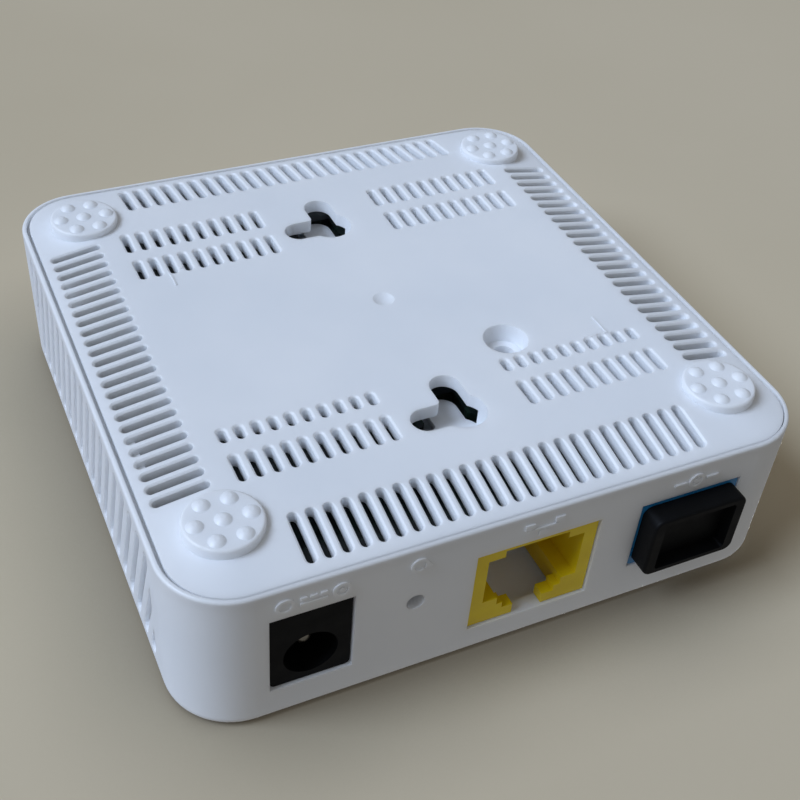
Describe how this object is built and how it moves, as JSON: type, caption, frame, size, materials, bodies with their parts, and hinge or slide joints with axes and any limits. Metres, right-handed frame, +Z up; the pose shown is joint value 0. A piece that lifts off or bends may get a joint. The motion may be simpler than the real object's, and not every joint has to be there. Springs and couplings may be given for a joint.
{
  "type": "optical network terminal",
  "caption": "Small square fibre broadband terminal with a vented underside, foot discs, wall-hanging keyholes and a rear panel with power, reset, network and plugged fibre ports.",
  "frame": {"origin": "under the middle of the square case, on the plane the foot domes stand on", "axes": "+Z up from the feet to the lid, +Y out of the rear panel with the sockets, +X to the fibre port's side"},
  "size_m": [0.078, 0.0806, 0.0234],
  "materials": {
    "white_plastic": "fine moulded texture, satin",
    "board_laminate": "solder mask on glass-epoxy laminate",
    "zinc_steel": "zinc plated",
    "yellow_nylon": "moulded nylon",
    "gold_contact": "gold flashed spring wire",
    "black_plastic": "moulded, fine texture",
    "nickel_brass": "nickel plated",
    "plunger_plastic": "moulded",
    "blue_plastic": "moulded",
    "cream_plastic": "moulded",
    "zirconia": "ground ceramic",
    "can_metal": "plain metal can",
    "plug_plastic": "moulded polyethylene",
    "clear_plastic": "clear moulded",
    "chip_epoxy": "moulded epoxy",
    "pad_silicone": "soft pad",
    "sink_aluminium": "extruded",
    "ferrite": "pressed ferrite",
    "ceramic_body": "fired ceramic"
  },
  "bodies": {
    "case": {"housing_shell": "white_plastic", "base_plate": "white_plastic", "circuit_board": "board_laminate", "board_screws": "zinc_steel", "rj45_housing": "yellow_nylon", "rj45_contacts": "gold_contact", "dc_jack_body": "black_plastic", "dc_jack_pin": "nickel_brass", "dc_jack_spring": "nickel_brass", "reset_switch_body": "black_plastic", "sc_adapter": "blue_plastic", "sc_latch": "cream_plastic", "ferrule_sleeve": "zirconia", "optical_module": "can_metal", "optical_leads": "gold_contact", "led_chips": "cream_plastic", "light_guides": "clear_plastic", "main_chip": "chip_epoxy", "memory_chip": "chip_epoxy", "flash_chip": "chip_epoxy", "power_chip": "chip_epoxy", "laser_driver": "chip_epoxy", "lan_transformer": "chip_epoxy", "thermal_pad": "pad_silicone", "heatsink": "sink_aluminium", "crystal": "can_metal", "power_inductors": "ferrite", "electrolytic_caps": "can_metal", "ceramic_caps": "ceramic_body"},
    "dust_plug": {"dust_plug": "plug_plastic"},
    "reset_plunger": {"reset_plunger": "plunger_plastic"}
  },
  "joints": [
    {"name": "dust_plug_pull", "type": "slide", "parent": "case", "child": "dust_plug", "axis": [0, 1, 0], "range_m": [0, 0.02]},
    {"name": "reset_press", "type": "slide", "parent": "case", "child": "reset_plunger", "axis": [0, -1, 0], "range_m": [0, 0.00025], "stiffness_N_per_m": 200}
  ]
}
